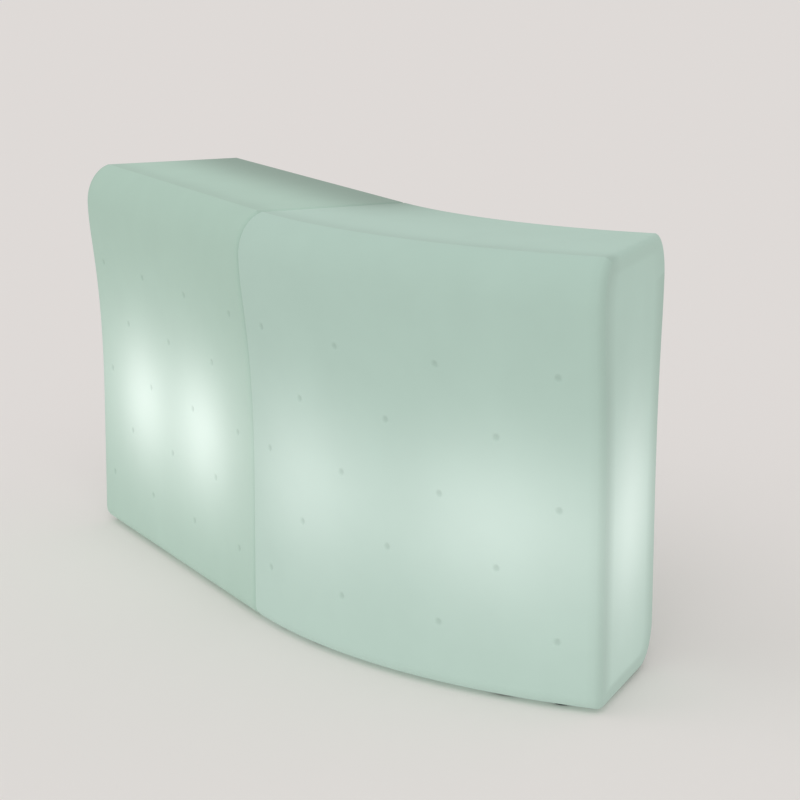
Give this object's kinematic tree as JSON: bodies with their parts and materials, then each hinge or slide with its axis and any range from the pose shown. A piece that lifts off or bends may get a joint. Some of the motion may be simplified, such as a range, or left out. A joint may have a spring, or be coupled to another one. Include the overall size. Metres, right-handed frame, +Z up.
{
  "type": "illuminated bar counter with shelves",
  "caption": "Glowing moulded bar counter: a straight module and a curved module joined end to end, with dimpled leaning fronts and shelf niches at the rear.",
  "frame": {"origin": "on the floor, at the middle of the bounding box's footprint", "axes": "+X along the straight module's front towards the curved module, -Y towards the customers, +Z up"},
  "size_m": [2.282, 0.8366, 1.1],
  "materials": {
    "moulded_polyethylene": "translucent pale mint rotomoulded polyethylene, satin, lit from inside",
    "liner_polyethylene": "translucent pale mint polyethylene, satin, lit from behind",
    "shelf_laminate": "white compact laminate, satin",
    "anodised_aluminium": "natural anodised",
    "galvanised_steel": "galvanised sheet",
    "lamp_glass": "opal fluorescent glass, lit",
    "white_plastic": "white moulded plastic",
    "black_plastic": "black glass-filled nylon"
  },
  "bodies": {
    "counter": {"curved_ballast": "white_plastic", "curved_cable_gland": "black_plastic", "curved_lamp_wire": "white_plastic", "curved_left_lamp": "lamp_glass", "curved_left_lamp_holder": "white_plastic", "curved_left_lamp_plate": "galvanised_steel", "curved_lower_bracket": "anodised_aluminium", "curved_lower_left_rail": "anodised_aluminium", "curved_lower_left_shelf": "shelf_laminate", "curved_lower_right_rail": "anodised_aluminium", "curved_lower_right_shelf": "shelf_laminate", "curved_niche_liner": "liner_polyethylene", "curved_right_lamp": "lamp_glass", "curved_right_lamp_holder": "white_plastic", "curved_right_lamp_plate": "galvanised_steel", "curved_shell": "moulded_polyethylene", "curved_upper_bracket": "anodised_aluminium", "curved_upper_left_rail": "anodised_aluminium", "curved_upper_left_shelf": "shelf_laminate", "curved_upper_right_rail": "anodised_aluminium", "curved_upper_right_shelf": "shelf_laminate", "front_link_bolt_left": "galvanised_steel", "front_link_bolt_right": "galvanised_steel", "front_link_plate": "galvanised_steel", "rear_link_bolt_left": "galvanised_steel", "rear_link_bolt_right": "galvanised_steel", "rear_link_plate": "galvanised_steel", "straight_ballast": "white_plastic", "straight_cable_gland": "black_plastic", "straight_lamp_wire": "white_plastic", "straight_left_lamp": "lamp_glass", "straight_left_lamp_holder": "white_plastic", "straight_left_lamp_plate": "galvanised_steel", "straight_lower_bracket": "anodised_aluminium", "straight_lower_left_rail": "anodised_aluminium", "straight_lower_right_rail": "anodised_aluminium", "straight_lower_shelf": "shelf_laminate", "straight_niche_liner": "liner_polyethylene", "straight_right_lamp": "lamp_glass", "straight_right_lamp_holder": "white_plastic", "straight_right_lamp_plate": "galvanised_steel", "straight_shell": "moulded_polyethylene", "straight_upper_bracket": "anodised_aluminium", "straight_upper_left_rail": "anodised_aluminium", "straight_upper_right_rail": "anodised_aluminium", "straight_upper_shelf": "shelf_laminate"},
    "curved_front_left_foot_body": {"curved_front_left_foot": "black_plastic"},
    "curved_front_right_foot_body": {"curved_front_right_foot": "black_plastic"},
    "curved_rear_left_foot_body": {"curved_rear_left_foot": "black_plastic"},
    "curved_rear_right_foot_body": {"curved_rear_right_foot": "black_plastic"},
    "straight_front_left_foot_body": {"straight_front_left_foot": "black_plastic"},
    "straight_front_right_foot_body": {"straight_front_right_foot": "black_plastic"},
    "straight_rear_left_foot_body": {"straight_rear_left_foot": "black_plastic"},
    "straight_rear_right_foot_body": {"straight_rear_right_foot": "black_plastic"}
  },
  "joints": [
    {"name": "curved_front_left_foot_extend", "type": "slide", "parent": "counter", "child": "curved_front_left_foot_body", "axis": [0, 0, -1], "range_m": [0, 0.015]},
    {"name": "curved_front_right_foot_extend", "type": "slide", "parent": "counter", "child": "curved_front_right_foot_body", "axis": [0, 0, -1], "range_m": [0, 0.015]},
    {"name": "curved_rear_left_foot_extend", "type": "slide", "parent": "counter", "child": "curved_rear_left_foot_body", "axis": [0, 0, -1], "range_m": [0, 0.015]},
    {"name": "curved_rear_right_foot_extend", "type": "slide", "parent": "counter", "child": "curved_rear_right_foot_body", "axis": [0, 0, -1], "range_m": [0, 0.015]},
    {"name": "straight_front_left_foot_extend", "type": "slide", "parent": "counter", "child": "straight_front_left_foot_body", "axis": [0, 0, -1], "range_m": [0, 0.015]},
    {"name": "straight_front_right_foot_extend", "type": "slide", "parent": "counter", "child": "straight_front_right_foot_body", "axis": [0, 0, -1], "range_m": [0, 0.015]},
    {"name": "straight_rear_left_foot_extend", "type": "slide", "parent": "counter", "child": "straight_rear_left_foot_body", "axis": [0, 0, -1], "range_m": [0, 0.015]},
    {"name": "straight_rear_right_foot_extend", "type": "slide", "parent": "counter", "child": "straight_rear_right_foot_body", "axis": [0, 0, -1], "range_m": [0, 0.015]}
  ]
}
